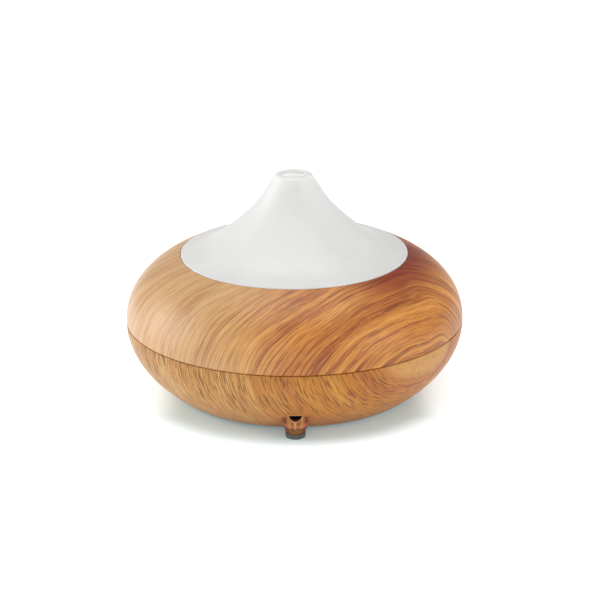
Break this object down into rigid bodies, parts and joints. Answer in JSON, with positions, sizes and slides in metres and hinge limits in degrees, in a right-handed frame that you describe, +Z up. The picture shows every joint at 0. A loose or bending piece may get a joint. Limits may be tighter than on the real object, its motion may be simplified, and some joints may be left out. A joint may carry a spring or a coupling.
{
  "type": "essential oil diffuser",
  "caption": "Round ultrasonic essential oil diffuser with a wood-grain casing in two halves, a white mist cone that lifts off with the lid, a water tank, fan and push buttons.",
  "frame": {"origin": "on the table, under the middle of the casing", "axes": "+Z up; -Y is the side with the cord inlet and a foot, +Y the side with the two push buttons"},
  "size_m": [0.168, 0.168, 0.1112],
  "materials": {
    "wood_upper": "printed wood grain, satin lacquer",
    "wood_lower": "printed wood grain, satin lacquer",
    "cover_white": "translucent white, satin",
    "inner_white": "moulded white, satin",
    "tank_white": "translucent white, semi-gloss",
    "base_brown": "moulded brown, fine texture",
    "pad_rubber": "dark grey rubber, matt",
    "gland_rubber": "black rubber, matt",
    "seal_rubber": "grey silicone, matt",
    "screw_steel": "zinc-plated steel",
    "clamp_steel": "pressed stainless steel",
    "disc_steel": "plated ceramic disc, satin metal",
    "float_white": "foamed white plastic",
    "magnet": "ferrite, matt black",
    "reed_glass": "clear green-tinted glass",
    "board_green": "solder mask green, satin",
    "board_white": "white solder mask",
    "led": "white package with yellow phosphor",
    "fan_black": "black moulded plastic",
    "coil_copper": "enamelled copper wire",
    "duct_white": "moulded white",
    "lead_red": "red wire insulation",
    "lead_grey": "grey wire insulation",
    "button_brown": "moulded dark brown, satin",
    "switch_black": "black plastic",
    "capacitor": "sleeved aluminium can",
    "inductor_dark": "ferrite core and windings",
    "heatsink_metal": "extruded aluminium",
    "chip_black": "black epoxy",
    "socket_white": "off-white nylon"
  },
  "bodies": {
    "base": {"lower_shell": "wood_lower", "cord_gland": "gland_rubber", "base_plate": "base_brown", "base_screws": "screw_steel", "foot_pad_front": "pad_rubber", "foot_pad_right": "pad_rubber", "foot_pad_left": "pad_rubber", "water_tank": "tank_white", "tank_seal": "seal_rubber", "tank_screws": "screw_steel", "air_tower": "tank_white", "air_outlet_cap": "inner_white", "float_cap": "inner_white", "reed_switch": "reed_glass", "transducer_disc": "disc_steel", "transducer_gasket": "seal_rubber", "transducer_clamp": "clamp_steel", "clamp_screws": "screw_steel", "transducer_leads": "lead_red", "led_board": "board_white", "leds": "led", "led_screws": "screw_steel", "led_leads": "lead_grey", "fan_frame": "fan_black", "fan_coil": "coil_copper", "fan_screws": "screw_steel", "air_duct": "duct_white", "fan_leads": "lead_red", "key_board": "board_green", "tact_switches": "switch_black", "key_screws": "screw_steel", "key_leads": "lead_grey", "main_board": "board_green", "board_screws": "screw_steel", "capacitors": "capacitor", "inductor": "inductor_dark", "heatsink": "heatsink_metal", "power_transistor": "chip_black", "control_chip": "chip_black", "wire_sockets": "socket_white"},
    "lid": {"upper_shell": "wood_upper", "mist_cover": "cover_white", "mist_guide": "inner_white", "lid_screws": "screw_steel"},
    "fan_impeller": {"fan_impeller": "fan_black"},
    "float": {"float_ring": "float_white", "float_magnet": "magnet"},
    "light_button": {"light_button": "button_brown"},
    "mist_button": {"mist_button": "button_brown"}
  },
  "joints": [
    {"name": "lid_lift", "type": "slide", "parent": "base", "child": "lid", "axis": [0, 0, 1], "range_m": [0, 0.06]},
    {"name": "fan_spin", "type": "hinge", "parent": "base", "child": "fan_impeller", "pos_m": [0, 0.034, 0.0105], "axis": [0, 0, 1], "continuous": true},
    {"name": "float_rise", "type": "slide", "parent": "base", "child": "float", "axis": [0, 0, 1], "range_m": [0, 0.005]},
    {"name": "light_press", "type": "slide", "parent": "base", "child": "light_button", "axis": [0, -1, 0], "range_m": [0, 0.0005], "stiffness_N_per_m": 400},
    {"name": "mist_press", "type": "slide", "parent": "base", "child": "mist_button", "axis": [0, -1, 0], "range_m": [0, 0.0005], "stiffness_N_per_m": 400}
  ]
}
